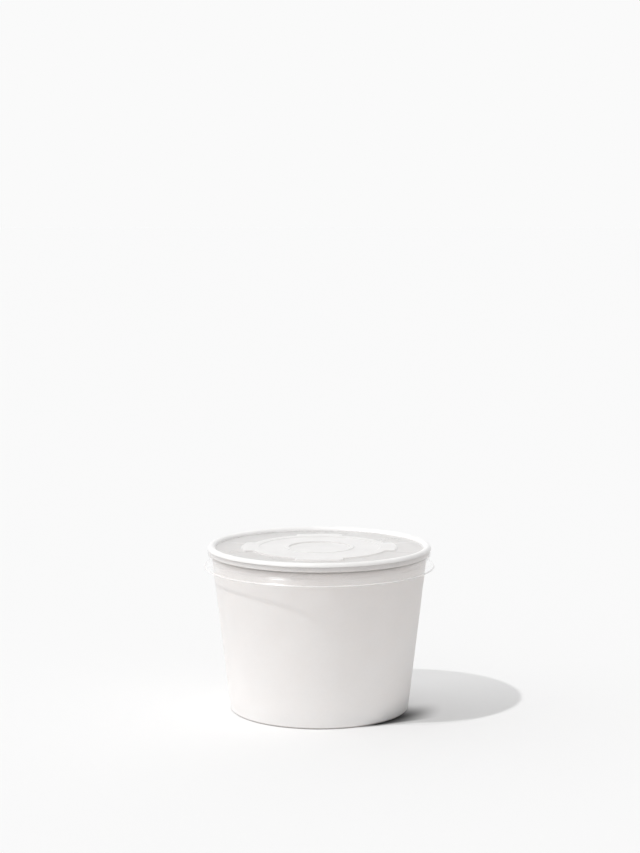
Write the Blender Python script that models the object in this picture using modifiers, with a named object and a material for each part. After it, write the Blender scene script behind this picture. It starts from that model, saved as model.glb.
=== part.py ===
"""Squat paper soup cup with a clear push-on lid, in metres, +Z up.

The origin is the centre of the ring that the cup stands on. The cup is made of
two pieces of coated board: a tapered side wall, rolled outwards at the brim and
folded inwards at the foot, and a disc whose skirt is gripped by that fold. The
lid is one thin formed sheet: a sunk panel with raised rings and four lugs, a
channel that caps the brim, interrupted snap beads below it and a flared lip.
"""

from math import atan2, cos, hypot, pi, radians, sin, tan

import bpy

# Driving dimensions, in metres.
BOARD = 0.00045
SHEET = 0.0003
GAP = 0.0003

BRIM_RADIUS = 0.0490
BRIM_TOP = 0.07297
BRIM_HEIGHT = 0.00375
FOOT_RADIUS = 0.03918
WALL_DRAFT = radians(6.675)

HEM_HEIGHT = 0.0062
BASE_HEIGHT = 0.0073
BASE_FILLET = 0.0008
CURL_TAIL = 0.0010

LID_CHANNEL_WIDTH = 0.00335
CREST_FALL = 0.0016
CHANNEL_SIDE = 0.0042
PANEL_DEPTH = 0.0017
PLATEAU_DEPTH = 0.0014
RING_DEPTH = 0.0011
CENTRE_DEPTH = 0.0017
INNER_RING_RADII = (0.0131, 0.0157)
OUTER_RING_RADII = (0.0265, 0.0310)
RING_SLOPE = 0.0004
LUG_REACH = 0.0037
LUG_HALF_ANGLE = radians(18)
LUG_SIDE_ANGLE = radians(2)

NECK_RADIUS = 0.0488
BEAD_DEPTH = 0.0005
BEAD_PITCH = radians(30)
BEAD_ANGLE = radians(12)
LIP_RADIUS = 0.0512
LIP_DROP = 0.0096

# Straight sides to each full turn: lugs and beads start and end on them.
STEPS = 60
MERGE = 0.00001
TOLERANCE = 0.00002


def clear_scene():
    """Take away whatever the file opened with."""
    for thing in list(bpy.data.objects):
        bpy.data.objects.remove(thing)


def material(name, colour, roughness, transmission=0.0):
    """A plain Principled finish, colour in linear light."""
    finish = bpy.data.materials.new(name)
    finish.use_nodes = True
    shader = finish.node_tree.nodes["Principled BSDF"]
    shader.inputs["Base Color"].default_value = (*colour, 1.0)
    shader.inputs["Roughness"].default_value = roughness
    shader.inputs["Metallic"].default_value = 0.0
    shader.inputs["Transmission Weight"].default_value = transmission
    finish.diffuse_color = (*colour, 1.0 - 0.6 * transmission)
    return finish


def arc(centre, radius, start, end, edges):
    """Points (radius from the axis, height) along an arc, both ends included."""
    points = []
    for step in range(edges + 1):
        angle = start + (end - start) * step / edges
        points.append((centre[0] + radius * cos(angle), centre[1] + radius * sin(angle)))
    return points


def turned(name, profile, collection):
    """A surface of revolution: the profile runs down its outer side at +X."""
    mesh = bpy.data.meshes.new(name)
    points = [(radius, 0.0, height) for radius, height in profile]
    edges = [(index, index + 1) for index in range(len(points) - 1)]
    mesh.from_pydata(points, edges, [])
    shape = bpy.data.objects.new(name, mesh)
    collection.objects.link(shape)
    screw = shape.modifiers.new("turn", "SCREW")
    screw.angle = 2 * pi
    screw.steps = STEPS
    screw.render_steps = STEPS
    screw.use_merge_vertices = True
    screw.merge_threshold = MERGE
    screw.use_smooth_shade = True
    return shape


def thicken(shape, thickness, offset, finish):
    """Give the open surface its thickness and its finish."""
    solid = shape.modifiers.new("thickness", "SOLIDIFY")
    solid.thickness = thickness
    solid.offset = offset
    solid.use_even_offset = True
    shape.data.materials.append(finish)


def wall_radius(height):
    """Middle of the side wall's board at a height."""
    return FOOT_RADIUS - BOARD / 2 + height * tan(WALL_DRAFT)


def hem_profile():
    """The fold at the foot: round under the skirt and up inside it."""
    bend = (BOARD + GAP * 2 + BOARD) / 2
    low = bend * sin(pi / 3) + BOARD / 2
    centre = (wall_radius(low) - bend, low)
    fold = arc(centre, bend, 0.0, -pi, 3)
    rise = HEM_HEIGHT - low
    tip = (centre[0] - bend + rise * tan(WALL_DRAFT), HEM_HEIGHT)
    return fold + [tip]


def brim_profile():
    """The rolled brim, from the tail inside the roll, out, over and in."""
    outside = BRIM_RADIUS - BOARD / 2
    top = BRIM_TOP - BOARD / 2
    bottom = BRIM_TOP - BRIM_HEIGHT + BOARD / 2
    tail = wall_radius(bottom) + BOARD + GAP
    under = (outside - tail) / 2
    over_height = top - (outside - wall_radius(top)) / 2
    over = (outside - wall_radius(over_height)) / 2
    below = arc((outside - under, bottom + under), under, -pi, 0.0, 3)
    above = arc((outside - over, over_height), over, 0.0, pi, 4)
    return [(tail, bottom + under + CURL_TAIL)] + below + above


def make_cup_wall(collection):
    """Side wall with its rolled brim and folded foot."""
    wall = turned("cup_wall", brim_profile() + hem_profile(), collection)
    thicken(wall, BOARD, 0.0, material("cup_board", (0.86, 0.86, 0.855), 0.55))
    return wall


def make_cup_base(collection):
    """Flat disc whose turned-down skirt sits inside the fold of the foot."""
    level = BASE_HEIGHT - BOARD / 2
    inset = BOARD + GAP
    side = wall_radius(level - BASE_FILLET) - inset
    bend = arc((side - BASE_FILLET, level - BASE_FILLET), BASE_FILLET, pi / 2, 0.0, 2)
    skirt_end = BOARD + GAP + BOARD
    skirt = (wall_radius(skirt_end) - inset, skirt_end)
    disc = turned("cup_base", [(0.0, level)] + bend + [skirt], collection)
    thicken(disc, BOARD, 0.0, material("base_board", (0.84, 0.84, 0.83), 0.6))
    return disc


def lid_top():
    """Height of the lid's crest, over the brim."""
    return BRIM_TOP + GAP + SHEET


def panel_profile():
    """Upper face of the sunk panel, from the centre to the channel."""
    top = lid_top()
    inner, outer = INNER_RING_RADII, OUTER_RING_RADII
    return [
        (0.0, top - CENTRE_DEPTH),
        (inner[0], top - CENTRE_DEPTH),
        (inner[0] + RING_SLOPE, top - RING_DEPTH),
        (inner[1] - RING_SLOPE, top - RING_DEPTH),
        (inner[1], top - PLATEAU_DEPTH),
        (outer[0], top - PLATEAU_DEPTH),
        (outer[0] + RING_SLOPE, top - RING_DEPTH),
        (outer[1] - RING_SLOPE, top - RING_DEPTH),
        (outer[1], top - PANEL_DEPTH),
    ]


def channel_profile():
    """Outer face of the channel that caps the brim, from the panel outwards."""
    top = lid_top()
    outside = BRIM_RADIUS + GAP + SHEET
    inside = outside - LID_CHANNEL_WIDTH
    middle = (inside + outside) / 2
    half = LID_CHANNEL_WIDTH / 2
    crest = []
    for step in range(5):
        angle = pi - pi * step / 4
        crest.append((middle + half * cos(angle), top - CREST_FALL * (1 - sin(angle))))
    foot = (inside - RING_SLOPE, top - PANEL_DEPTH)
    return [foot] + crest + [(outside, top - CHANNEL_SIDE)]


def skirt_profile():
    """Neck with the snap beads, shoulder and flared lip, top to bottom."""
    top = lid_top()
    return [
        (NECK_RADIUS, top - 0.0056),
        (NECK_RADIUS, top - 0.0064),
        (NECK_RADIUS + 0.0008, top - 0.0072),
        (LIP_RADIUS - 0.0003, top - 0.0091),
        (LIP_RADIUS, top - LIP_DROP),
    ]


def lug_polar(radius, angle):
    """Push the outer ring's outer wall out into four lugs, a quarter turn apart."""
    outer = OUTER_RING_RADII[1]
    on_wall = outer - RING_SLOPE - TOLERANCE < radius < outer + TOLERANCE
    if not on_wall:
        return radius, angle
    quarter = pi / 2
    middle = round(angle / quarter) * quarter
    offset = angle - middle
    step = 2 * pi / STEPS
    if abs(offset) < LUG_HALF_ANGLE + step / 2:
        return radius + LUG_REACH, angle
    if abs(offset) < LUG_HALF_ANGLE + step * 1.5:
        side = LUG_HALF_ANGLE + LUG_SIDE_ANGLE
        return radius, middle + side * (1 if offset > 0 else -1)
    return radius, angle


def bead_radius(radius, angle, height):
    """Press the neck in under the brim, in twelve separate beads."""
    drop = lid_top() - height
    on_neck = abs(radius - NECK_RADIUS) < TOLERANCE and 0.005 < drop < 0.007
    from_front = (angle + pi / 2 + BEAD_ANGLE) % BEAD_PITCH
    half_step = pi / STEPS
    in_bead = from_front < BEAD_ANGLE + half_step or from_front > BEAD_PITCH - half_step
    return radius - BEAD_DEPTH if on_neck and in_bead else radius


def make_lid(collection):
    """The clear lid: turned, then its lugs and beads pressed into the sheet."""
    profile = panel_profile() + channel_profile() + skirt_profile()
    pattern = turned("lid_turning", profile, collection)
    graph = bpy.context.evaluated_depsgraph_get()
    sheet = bpy.data.meshes.new_from_object(pattern.evaluated_get(graph))
    bpy.data.objects.remove(pattern)
    sheet.name = "lid"
    for vertex in sheet.vertices:
        radius = hypot(vertex.co.x, vertex.co.y)
        angle = atan2(vertex.co.y, vertex.co.x)
        radius = bead_radius(radius, angle, vertex.co.z)
        radius, angle = lug_polar(radius, angle)
        vertex.co.x = radius * cos(angle)
        vertex.co.y = radius * sin(angle)
    lid = bpy.data.objects.new("lid", sheet)
    collection.objects.link(lid)
    thicken(lid, SHEET, -1.0, material("lid_clear", (0.95, 0.95, 0.95), 0.12, 0.9))
    return lid


def main():
    """Build the cup and its lid."""
    clear_scene()
    collection = bpy.data.collections.new("soup_cup")
    bpy.context.scene.collection.children.link(collection)
    make_cup_wall(collection)
    make_cup_base(collection)
    make_lid(collection)


main()
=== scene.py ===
"""Looks of a squat board soup cup closed with its clear formed lid, in metres, +Z up."""

from math import atan2, cos, hypot, pi, radians, sin, tan

import bmesh
import bpy
from mathutils import Matrix, Vector


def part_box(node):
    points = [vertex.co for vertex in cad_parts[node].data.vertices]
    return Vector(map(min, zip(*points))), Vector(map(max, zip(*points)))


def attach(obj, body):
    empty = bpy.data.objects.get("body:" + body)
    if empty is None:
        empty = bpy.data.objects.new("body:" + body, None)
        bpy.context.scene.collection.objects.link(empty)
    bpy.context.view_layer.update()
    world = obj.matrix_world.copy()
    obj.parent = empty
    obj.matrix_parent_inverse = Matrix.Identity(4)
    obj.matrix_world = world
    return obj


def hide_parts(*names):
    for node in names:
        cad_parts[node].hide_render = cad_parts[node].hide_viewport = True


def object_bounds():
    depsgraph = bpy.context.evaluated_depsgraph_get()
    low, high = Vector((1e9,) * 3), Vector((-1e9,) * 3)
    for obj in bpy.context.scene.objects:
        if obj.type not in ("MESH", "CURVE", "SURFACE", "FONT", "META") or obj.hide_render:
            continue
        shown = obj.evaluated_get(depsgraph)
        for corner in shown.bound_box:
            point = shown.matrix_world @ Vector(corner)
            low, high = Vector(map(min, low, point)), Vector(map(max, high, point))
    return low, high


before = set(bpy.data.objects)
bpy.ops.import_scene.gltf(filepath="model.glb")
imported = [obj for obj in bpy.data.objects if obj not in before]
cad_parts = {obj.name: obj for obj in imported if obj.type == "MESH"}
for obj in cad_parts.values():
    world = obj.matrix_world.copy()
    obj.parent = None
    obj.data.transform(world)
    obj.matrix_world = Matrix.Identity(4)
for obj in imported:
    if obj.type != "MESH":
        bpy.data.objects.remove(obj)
cad_low, cad_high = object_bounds()

MM = 0.001
TURN = 2 * pi
WHITE = (1.0, 1.0, 1.0, 1.0)

# The studio: how white the backdrop is, and the share of that white the eye sees in the cast shadow.
BACKDROP = 0.956
SHADOW_LIFT = 0.36

# Towards the lamp, and on the floor along the cast shadow and across it to the front.
LAMP = (-0.593, -0.296, 1.0)
DOWNWIND = (0.894, 0.447, 0.0)
ACROSS = (0.447, -0.894, 0.0)

# Noise in the board, per metre.
CLOUD_SCALE = 90.0
FIBRE_SCALE = 900.0

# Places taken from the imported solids.
TOP = cad_high[2]
LIP_RADIUS = cad_high[0]
BRIM_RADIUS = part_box("cup_wall")[1][0]
BRIM_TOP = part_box("cup_wall")[1][2] - 0.05 * MM
BASE_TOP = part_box("cup_base")[1][2]

# The board of the cup.
BOARD = 0.45 * MM
BRIM_HEIGHT = 3.75 * MM
FOOT_RADIUS = 39.18 * MM
WALL_SLOPE = tan(radians(6.675))
HEM_HEIGHT = 6.2 * MM
GAP = 0.3 * MM
# How far the board's painted shade reaches out from its corners and hollows.
PAINTED_SHADE_REACH = 7 * MM
CUP_STEPS = 240

# The sheet of the lid: depths are measured down from its crest.
SHEET = 0.3 * MM
CHANNEL_RADIUS = BRIM_RADIUS + GAP + SHEET
CHANNEL_WIDTH = 3.35 * MM
CREST_FALL = 1.6 * MM
PANEL_DEPTH = 1.7 * MM
PLATEAU_DEPTH = 1.4 * MM
RING_DEPTH = 1.1 * MM
CENTRE_DEPTH = 1.7 * MM
INNER_RING = (13.1 * MM, 15.7 * MM)
OUTER_RING = (26.5 * MM, 31.0 * MM)
LUG_REACH = 3.7 * MM
LUG_HALF_ANGLE = radians(18)
NECK_RADIUS = 48.8 * MM
BEAD_DEPTH = 0.45 * MM
BEAD_PITCH = radians(30)
BEAD_HALF_ANGLE = radians(9)
LID_STEPS = 360
CLEAR, MILKY, EDGE, CREST, PANEL, SLOPE = range(6)


def smooth_step(low, high, value):
    """0 below low, 1 above high, and an even S between them."""
    share = min(1.0, max(0.0, (value - low) / (high - low)))
    return share * share * (3 - 2 * share)


# ---------------------------------------------------------------- mesh helpers


def arc(centre, radius, start, end, edges):
    """Points (radius from the axis, height) along an arc, both ends included."""
    points = []
    for step in range(edges + 1):
        angle = start + (end - start) * step / edges
        points.append((centre[0] + radius * cos(angle), centre[1] + radius * sin(angle)))
    return points


def rounded(points, radius, edges=4):
    """The same path with each inner corner turned by an arc of about this radius."""
    path = [points[0]]
    for before, corner, after in zip(points, points[1:], points[2:]):
        here = Vector(corner)
        back = Vector(before) - here
        on = Vector(after) - here
        reach = min(radius, back.length * 0.45, on.length * 0.45)
        start = here + back.normalized() * reach
        end = here + on.normalized() * reach
        for step in range(edges + 1):
            share = step / edges
            first = start.lerp(here, share)
            second = here.lerp(end, share)
            path.append(tuple(first.lerp(second, share)))
    path.append(points[-1])
    return path


def spun(profile, steps):
    """A bmesh of the profile (radius, height) turned once round the Z axis."""
    shape = bmesh.new()
    line = [shape.verts.new((radius, 0.0, height)) for radius, height in profile]
    edges = [shape.edges.new(pair) for pair in zip(line, line[1:])]
    bmesh.ops.spin(
        shape, geom=line + edges, cent=(0, 0, 0), axis=(0, 0, 1), angle=TURN, steps=steps, use_merge=True
    )
    bmesh.ops.remove_doubles(shape, verts=shape.verts, dist=0.002 * MM)
    bmesh.ops.recalc_face_normals(shape, faces=shape.faces)
    return shape


def finished(shape, name, *materials):
    """Turn the bmesh into a shaded object with its materials."""
    mesh = bpy.data.meshes.new(name)
    shape.to_mesh(mesh)
    shape.free()
    piece = bpy.data.objects.new(name, mesh)
    bpy.context.scene.collection.objects.link(piece)
    for material in materials:
        mesh.materials.append(material)
    mesh.shade_smooth()
    mesh.set_sharp_from_angle(angle=radians(50))
    return piece


def thickened(shape, thickness):
    """Give an open sheet its thickness on the side away from its normals."""
    bmesh.ops.solidify(shape, geom=shape.faces, thickness=thickness)
    return shape


# ---------------------------------------------------------------- node helpers


class Nodes:
    """Short ways to add and join the nodes of one material or world."""

    def __init__(self, owner, output="ShaderNodeOutputMaterial"):
        self.owner = owner
        owner.use_nodes = True
        self.tree = owner.node_tree
        self.tree.nodes.clear()
        self.output = self.tree.nodes.new(output)

    def add(self, kind, **inputs):
        """A node of this kind, with its inputs set or linked by name."""
        node = self.tree.nodes.new("ShaderNode" + kind)
        for name, value in inputs.items():
            self.feed(node, name.replace("_", " "), value)
        return node

    def feed(self, node, name, value):
        """Set an input by name or number, or link it when the value is a socket."""
        socket = node.inputs[name]
        if isinstance(value, bpy.types.NodeSocket):
            self.tree.links.new(value, socket)
        else:
            socket.default_value = value

    def math(self, operation, first, second=0.0):
        """One sum of two numbers or sockets."""
        node = self.add("Math")
        node.operation = operation
        self.feed(node, 0, first)
        self.feed(node, 1, second)
        return node.outputs[0]

    def noise(self, coordinates, scale, detail=3.0, roughness=0.55):
        """Even noise from 0 to 1; scale is per metre."""
        node = self.add("TexNoise", Vector=coordinates, Scale=scale, Detail=detail, Roughness=roughness)
        return node.outputs["Fac"]

    def spread(self, value, low, high, out_low, out_high, curve="LINEAR"):
        """Bring a number from one range to another, held at the ends."""
        node = self.add("MapRange", Value=value)
        node.interpolation_type = curve
        for name, number in zip(("From Min", "From Max", "To Min", "To Max"), (low, high, out_low, out_high)):
            node.inputs[name].default_value = number
        return node.outputs["Result"]

    def mixed(self, factor, first, second):
        """Two colours mixed by a factor."""
        node = self.add("Mix")
        node.data_type = "RGBA"
        self.feed(node, 0, factor)
        self.feed(node, 6, first)
        self.feed(node, 7, second)
        return node.outputs[2]

    def blend(self, factor, first, second):
        """Two shaders mixed by a factor."""
        node = self.add("MixShader")
        self.feed(node, 0, factor)
        self.feed(node, 1, first)
        self.feed(node, 2, second)
        return node.outputs[0]

    def finish(self, surface):
        """Join the last shader to the output."""
        self.tree.links.new(surface, self.output.inputs["Surface"])
        return self.owner


def new_nodes(name):
    """Nodes of a new material."""
    return Nodes(bpy.data.materials.new(name))


def linear(*bytes_of_colour):
    """An sRGB colour in bytes as linear light with full alpha."""
    shares = [byte / 255 for byte in bytes_of_colour]
    lit = [share / 12.92 if share <= 0.04045 else ((share + 0.055) / 1.055) ** 2.4 for share in shares]
    return (*lit, 1.0)


# ------------------------------------------------------------------- materials


def board_material(name, face, shadow, painted_shade, roughness, glow):
    """White coated board: faint fibre cloud, finer flecks, a satin coat, some light let through.

    It darkens to the painted shade colour in tight corners and where it faces down, as under the roll.
    """
    nodes = new_nodes(name)
    place = nodes.add("TexCoord").outputs["Object"]
    cloud = nodes.noise(place, CLOUD_SCALE, 4.0)
    fibre = nodes.noise(place, FIBRE_SCALE, 3.0, 0.65)
    tone = nodes.math("ADD", nodes.math("MULTIPLY", cloud, 0.6), nodes.math("MULTIPLY", fibre, 0.4))
    flat = nodes.mixed(nodes.spread(tone, 0.3, 0.7, 0.0, 1.0), linear(*shadow), linear(*face))
    # Painted shade: darker in tight corners and on faces turned down, such as under the roll.
    near = nodes.add("AmbientOcclusion", Distance=PAINTED_SHADE_REACH)
    near.samples = 8
    near.only_local = True
    open_share = nodes.spread(near.outputs["AO"], 0.4, 0.98, 0.0, 1.0)
    facing = nodes.add("SeparateXYZ", Vector=nodes.add("NewGeometry").outputs["Normal"])
    upward = nodes.spread(facing.outputs["Z"], -0.7, -0.14, 0.3, 1.0)
    colour = nodes.mixed(nodes.math("MULTIPLY", open_share, upward), linear(*painted_shade), flat)
    bump = nodes.add("Bump", Strength=0.12, Distance=0.00004, Height=fibre)
    shader = nodes.add("BsdfPrincipled")
    nodes.feed(shader, "Base Color", colour)
    nodes.feed(shader, "Roughness", nodes.spread(cloud, 0.3, 0.7, roughness - 0.05, roughness + 0.05))
    nodes.feed(shader, "Normal", bump.outputs[0])
    shader.inputs["Specular IOR Level"].default_value = 0.4
    shader.inputs["Subsurface Weight"].default_value = glow
    shader.inputs["Subsurface Scale"].default_value = 1.5 * BOARD
    shader.inputs["Subsurface Radius"].default_value = (1.05, 1.0, 0.97)
    return nodes.finish(shader.outputs[0])


def sheet_material(name, haze, glow, roughness, shine=0.0):
    """Thin clear sheet: passes light, mirrors more at a slant, with a share of white haze.

    Haze is the share that is white, glow the share of that white that is lit through the sheet, and
    shine what is mirrored even when the sheet is seen square on.
    """
    nodes = new_nodes(name)
    place = nodes.add("TexCoord").outputs["Object"]
    clear = nodes.add("BsdfTransparent", Color=WHITE)
    patch = nodes.noise(place, 60.0, 2.0)
    gloss = nodes.add("BsdfGlossy", Color=WHITE)
    nodes.feed(gloss, "Roughness", nodes.spread(patch, 0.3, 0.7, roughness - 0.03, roughness + 0.03))
    slant = nodes.add("Fresnel")
    slant.inputs["IOR"].default_value = 1.49
    front = nodes.math("SUBTRACT", 1.0, nodes.add("NewGeometry").outputs["Backfacing"])
    mirror = nodes.math("MULTIPLY", nodes.math("ADD", slant.outputs[0], shine), front)
    white = nodes.add("BsdfDiffuse", Color=linear(253, 252, 251))
    through = nodes.add("BsdfTranslucent", Color=linear(253, 252, 251))
    milk = nodes.blend(glow, white.outputs[0], through.outputs[0])
    share = nodes.spread(patch, 0.3, 0.7, haze * 0.93, haze * 1.07)
    body = nodes.blend(share, clear.outputs[0], milk)
    return nodes.finish(nodes.blend(mirror, body, gloss.outputs[0]))


# ------------------------------------------------------------------ board cup


def wall_radius(height):
    """Middle of the side wall's board at a height."""
    return FOOT_RADIUS - BOARD / 2 + height * WALL_SLOPE


def cup_profile():
    """Middle line of the board, from the tail inside the brim to the fold's tip."""
    outside = BRIM_RADIUS - BOARD / 2
    top = BRIM_TOP - BOARD / 2
    bottom = BRIM_TOP - BRIM_HEIGHT + BOARD / 2
    tail = wall_radius(bottom) + BOARD + GAP
    under = (outside - tail) / 2
    over_height = top - (outside - wall_radius(top)) / 2
    over = (outside - wall_radius(over_height)) / 2
    below = arc((outside - under, bottom + under), under, -pi, 0.0, 10)
    above = arc((outside - over, over_height), over, 0.0, pi, 14)
    bend = BOARD + GAP
    low = bend + BOARD / 2
    centre = (wall_radius(low) - bend, low)
    fold = arc(centre, bend, 0.0, -pi, 12)
    tip = (centre[0] - bend + (HEM_HEIGHT - low) * WALL_SLOPE, HEM_HEIGHT)
    wall = []
    for step in range(1, 24):
        height = over_height + (low - over_height) * step / 24
        wall.append((wall_radius(height), height))
    return [(tail, bottom + under + 1.0 * MM)] + below + above + wall + fold + [tip]


def make_cup_side(board):
    """Side wall, rolled brim and folded foot; its outer skin stands a little outside the solid's."""
    shape = spun(cup_profile(), CUP_STEPS)
    for vertex in shape.verts:
        outward = Vector((vertex.co.x, vertex.co.y, 0)).normalized()
        vertex.co += outward * BOARD / 2
    thickened(shape, BOARD)
    return finished(shape, "cup_side", board)


def make_cup_floor(board):
    """Base disc with its turned-down skirt."""
    level = BASE_TOP - BOARD / 2
    inset = BOARD + GAP
    fillet = 0.8 * MM
    side = wall_radius(level - fillet) - inset
    bend = arc((side - fillet, level - fillet), fillet, pi / 2, 0.0, 6)
    end = 2 * BOARD + GAP
    rings = [(side * share / 6, level) for share in range(6)]
    profile = rings + bend + [(wall_radius(end) - inset, end)]
    shape = spun(profile, CUP_STEPS)
    thickened(shape, BOARD)
    return finished(shape, "cup_floor", board)


# ------------------------------------------------------------------ clear lid


def lid_profile():
    """Outer face of the lid, from the centre over the brim to the lip."""
    inner, outer = INNER_RING, OUTER_RING
    slope = 0.5 * MM
    panel = [
        (0.0, CENTRE_DEPTH),
        (inner[0], CENTRE_DEPTH),
        (inner[0] + slope, RING_DEPTH),
        (inner[1] - slope, RING_DEPTH),
        (inner[1], PLATEAU_DEPTH),
        (outer[0], PLATEAU_DEPTH),
        (outer[0] + slope, RING_DEPTH),
        (outer[1] - slope, RING_DEPTH),
        (outer[1], PANEL_DEPTH),
        (CHANNEL_RADIUS - CHANNEL_WIDTH - slope, PANEL_DEPTH),
        (CHANNEL_RADIUS - CHANNEL_WIDTH, CREST_FALL),
    ]
    half = CHANNEL_WIDTH / 2
    crest = []
    for step in range(1, 24):
        angle = pi - pi * step / 24
        crest.append((CHANNEL_RADIUS - half + half * cos(angle), CREST_FALL * (1 - sin(angle))))
    skirt = [
        (CHANNEL_RADIUS, CREST_FALL),
        (CHANNEL_RADIUS, 4.2 * MM),
        (NECK_RADIUS, 5.7 * MM),
        (NECK_RADIUS, 6.4 * MM),
        (NECK_RADIUS + 0.8 * MM, 7.2 * MM),
        (LIP_RADIUS - 0.5 * MM, 9.0 * MM),
        (LIP_RADIUS - 0.02 * MM, 9.55 * MM),
    ]
    path = rounded(panel, 0.35 * MM)[:-1] + [panel[-1]] + crest + rounded(skirt, 0.3 * MM)
    return [(radius, TOP - depth) for radius, depth in path]


def lug_share(angle):
    """How far out a lug reaches at this angle, from 0 to 1."""
    quarter = pi / 2
    offset = abs(angle - round(angle / quarter) * quarter)
    return 1 - smooth_step(LUG_HALF_ANGLE - radians(0.6), LUG_HALF_ANGLE + radians(1.4), offset)


def bead_share(angle):
    """How deep the neck is pressed in at this angle, from 0 to 1."""
    from_middle = (angle + pi / 2 + radians(6)) % BEAD_PITCH
    offset = min(from_middle, BEAD_PITCH - from_middle)
    return 1 - smooth_step(BEAD_HALF_ANGLE - radians(0.7), BEAD_HALF_ANGLE + radians(0.7), offset)


def press_details(shape):
    """Push the ring's outer wall out into lugs and the neck into snap beads."""
    lug_start = OUTER_RING[1] - 1.6 * MM
    lug_end = OUTER_RING[1] + 0.6 * MM
    for vertex in shape.verts:
        radius = hypot(vertex.co.x, vertex.co.y)
        angle = atan2(vertex.co.y, vertex.co.x)
        depth = TOP - vertex.co.z
        if lug_start < radius < lug_end:
            radius += LUG_REACH * lug_share(angle)
        elif radius > NECK_RADIUS - 0.1 * MM and 4.9 * MM < depth < 7.0 * MM:
            across = 1 - abs(depth - 6.05 * MM) / (1.0 * MM)
            radius -= BEAD_DEPTH * bead_share(angle) * smooth_step(0.0, 0.8, max(0.0, across))
        vertex.co.x = radius * cos(angle)
        vertex.co.y = radius * sin(angle)


def sheet_slot(face):
    """Which of the lid's finishes a face has, by its place."""
    middle = face.calc_center_median()
    radius = hypot(middle.x, middle.y)
    depth = TOP - middle.z
    raised = OUTER_RING[1] + LUG_REACH * lug_share(atan2(middle.y, middle.x))
    if radius < raised + 0.1 * MM:
        return MILKY if abs(face.normal.z) > 0.93 else SLOPE
    if radius < CHANNEL_RADIUS - CHANNEL_WIDTH:
        return PANEL
    if depth < 2.5 * MM:
        return CREST
    return EDGE if depth > 9.2 * MM else CLEAR


def make_lid(*finishes):
    """The lid's sheet: milky on its raised middle, over the brim and at the lip."""
    shape = spun(lid_profile(), LID_STEPS)
    press_details(shape)
    bmesh.ops.recalc_face_normals(shape, faces=shape.faces)
    thickened(shape, SHEET)
    shape.normal_update()
    for face in shape.faces:
        face.material_index = sheet_slot(face)
    return finished(shape, "lid_sheet", *finishes)


# ------------------------------------------------------------ floor and light


def make_floor():
    """Wide white floor that keeps the cup's shadow."""
    shape = bmesh.new()
    bmesh.ops.create_grid(shape, x_segments=1, y_segments=1, size=60.0)
    floor = finished(shape, "studio_floor", floor_material())


def along(nodes, place, direction):
    """How far a place lies in a direction on the floor."""
    node = nodes.add("VectorMath", Vector=place)
    node.operation = "DOT_PRODUCT"
    node.inputs[1].default_value = direction
    return node.outputs["Value"]


def contact_shade(nodes, place, across, downwind):
    """Share of deep shade on the floor where the foot's lee side rests in the cast shadow."""
    radius = nodes.add("VectorMath", Vector=place)
    radius.operation = "LENGTH"
    near = nodes.spread(
        radius.outputs["Value"], FOOT_RADIUS - 1 * MM, FOOT_RADIUS + 17 * MM, 1.0, 0.0, "SMOOTHSTEP"
    )
    lee = nodes.spread(across, 14 * MM, 34 * MM, 0.0, 1.0, "SMOOTHSTEP")
    inside = nodes.spread(across, 39.5 * MM, 42 * MM, 1.0, 0.0)
    behind = nodes.spread(downwind, -3 * MM, 9 * MM, 0.0, 1.0, "SMOOTHSTEP")
    edges = nodes.math("MULTIPLY", inside, behind)
    return nodes.math("MULTIPLY", near, nodes.math("MULTIPLY", lee, edges))


def floor_material():
    """Matt white paper, with the foot's deep shade, painted on.

    A long way off it throws back only dull light. The eye also sees a share of plain white, which
    shows only in the cast shadow, as lit paper is just as white.
    """
    nodes = new_nodes("studio_white")
    place = nodes.add("TexCoord").outputs["Object"]
    across = along(nodes, place, ACROSS)
    downwind = along(nodes, place, DOWNWIND)
    dark = contact_shade(nodes, place, across, downwind)
    white = nodes.mixed(dark, (0.889, 0.889, 0.889, 1.0), (0.03, 0.03, 0.03, 1.0))
    away = nodes.add("VectorMath", Vector=place)
    away.operation = "LENGTH"
    far = nodes.spread(away.outputs["Value"], 0.12, 0.35, 0.0, 1.0)
    path = nodes.add("LightPath").outputs
    bounce = nodes.math("MULTIPLY", far, path["Is Diffuse Ray"])
    colour = nodes.mixed(bounce, white, (0.22, 0.18, 0.16, 1.0))
    paper = nodes.add("BsdfDiffuse", Color=colour).outputs[0]
    # Painted light: the eye's white share lifts the cast shadow most behind the cup, fades to none at its
    # front edge, and is kept off the foot's painted shade.
    lift = nodes.spread(across, -20 * MM, 42 * MM, SHADOW_LIFT, 0.0)
    lift = nodes.math("MULTIPLY", lift, nodes.math("SUBTRACT", 1.0, dark))
    plain = nodes.add("Emission", Color=WHITE, Strength=BACKDROP).outputs[0]
    return nodes.finish(nodes.blend(nodes.math("MULTIPLY", lift, path["Is Camera Ray"]), paper, plain))


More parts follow.
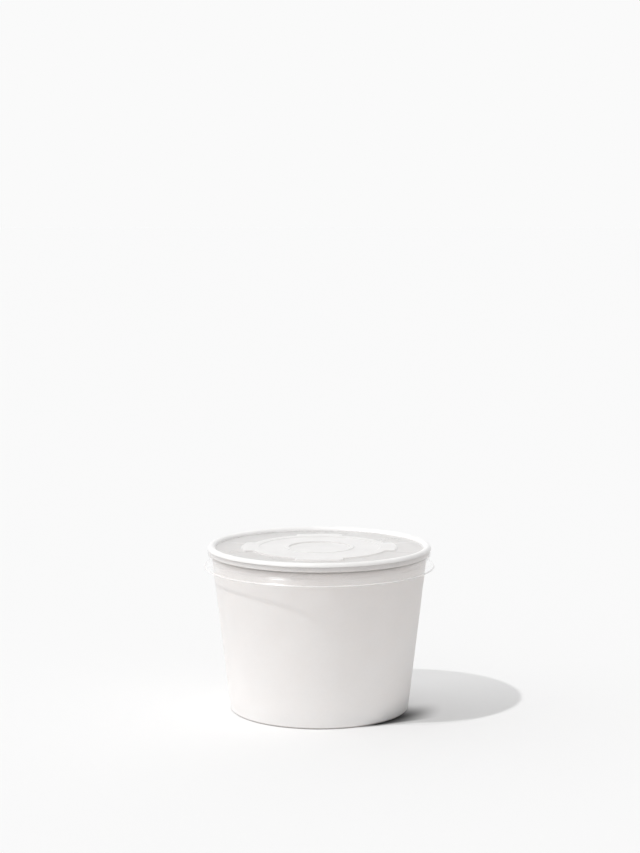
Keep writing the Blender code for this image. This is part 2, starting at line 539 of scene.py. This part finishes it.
def make_world(low, high, lee):
    """White light from low to high in the sky; eye, mirrors and glass see the backdrop's white.

    Lee is the share of that light left on the side away from the lamp.
    """
    nodes = Nodes(bpy.data.worlds.new("studio"), "ShaderNodeOutputWorld")
    bpy.context.scene.world = nodes.owner
    path = nodes.add("LightPath").outputs
    glimpse = nodes.math("MAXIMUM", path["Is Camera Ray"], path["Is Glossy Ray"])
    glimpse = nodes.math("MAXIMUM", glimpse, path["Is Transmission Ray"])
    direction = nodes.add("SeparateXYZ", Vector=nodes.add("TexCoord").outputs["Generated"])
    strength = nodes.spread(direction.outputs["Z"], 0.0, 1.0, low, high)
    side = nodes.spread(direction.outputs["X"], 0.1, 0.8, 1.0, lee)
    strength = nodes.math("MULTIPLY", strength, side)
    light = nodes.add("Background", Color=WHITE, Strength=strength)
    backdrop = nodes.add("Background", Color=WHITE, Strength=BACKDROP)
    nodes.finish(nodes.blend(glimpse, light.outputs[0], backdrop.outputs[0]))


def make_sun(strength):
    """One distant white lamp, high on the left and a little in front."""
    lamp = bpy.data.lights.new("key", "SUN")
    lamp.energy = strength
    lamp.angle = radians(1.6)
    key = bpy.data.objects.new("key", lamp)
    bpy.context.scene.collection.objects.link(key)
    key.rotation_euler = Vector(LAMP).to_track_quat("Z", "Y").to_euler()


def make_camera():
    """Long lens, a little above the lid, level with the horizon line."""
    data = bpy.data.cameras.new("camera")
    data.sensor_width = 36.0
    data.lens = 80.2
    data.clip_start = 0.01
    data.clip_end = 500.0
    camera = bpy.data.objects.new("camera", data)
    bpy.context.scene.collection.objects.link(camera)
    camera.matrix_world = Matrix.Translation((0.0003, -0.833, 0.216)) @ Matrix.Rotation(
        radians(90 - 6.17), 4, "X"
    )
    bpy.context.scene.camera = camera


def main():
    """Build every piece, the floor, the light and the camera."""
    # The board's last colour is painted shade, for its corners and its down-facing faces under the roll.
    board = board_material("white_board", (243, 239, 237), (240, 236, 234), (84, 76, 72), 0.5, 1.0)
    clear = sheet_material("clear_sheet", 0.03, 0.4, 0.25)
    panel = sheet_material("panel_sheet", 0.34, 0.3, 0.3)
    milky = sheet_material("milky_sheet", 0.82, 0.3, 0.35)
    slope = sheet_material("slope_sheet", 0.58, 0.3, 0.35)
    edge = sheet_material("lip_edge", 0.5, 0.4, 0.3)
    crest = sheet_material("crest_sheet", 0.92, 0.0, 0.4, 0.06)
    side = make_cup_side(board)
    floor = make_cup_floor(board)
    lid = make_lid(clear, milky, edge, crest, panel, slope)
    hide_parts("cup_wall")
    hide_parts("cup_base")
    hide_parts("lid")
    for piece, slot in ((side, "board"), (floor, "board"), (lid, "clear_lid")):
        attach(piece, "root")
    make_floor()
    make_world(1.1, 0.8, 0.4)
    make_sun(1.13)
    make_camera()
    bpy.context.scene.view_settings.view_transform = "Standard"


main()
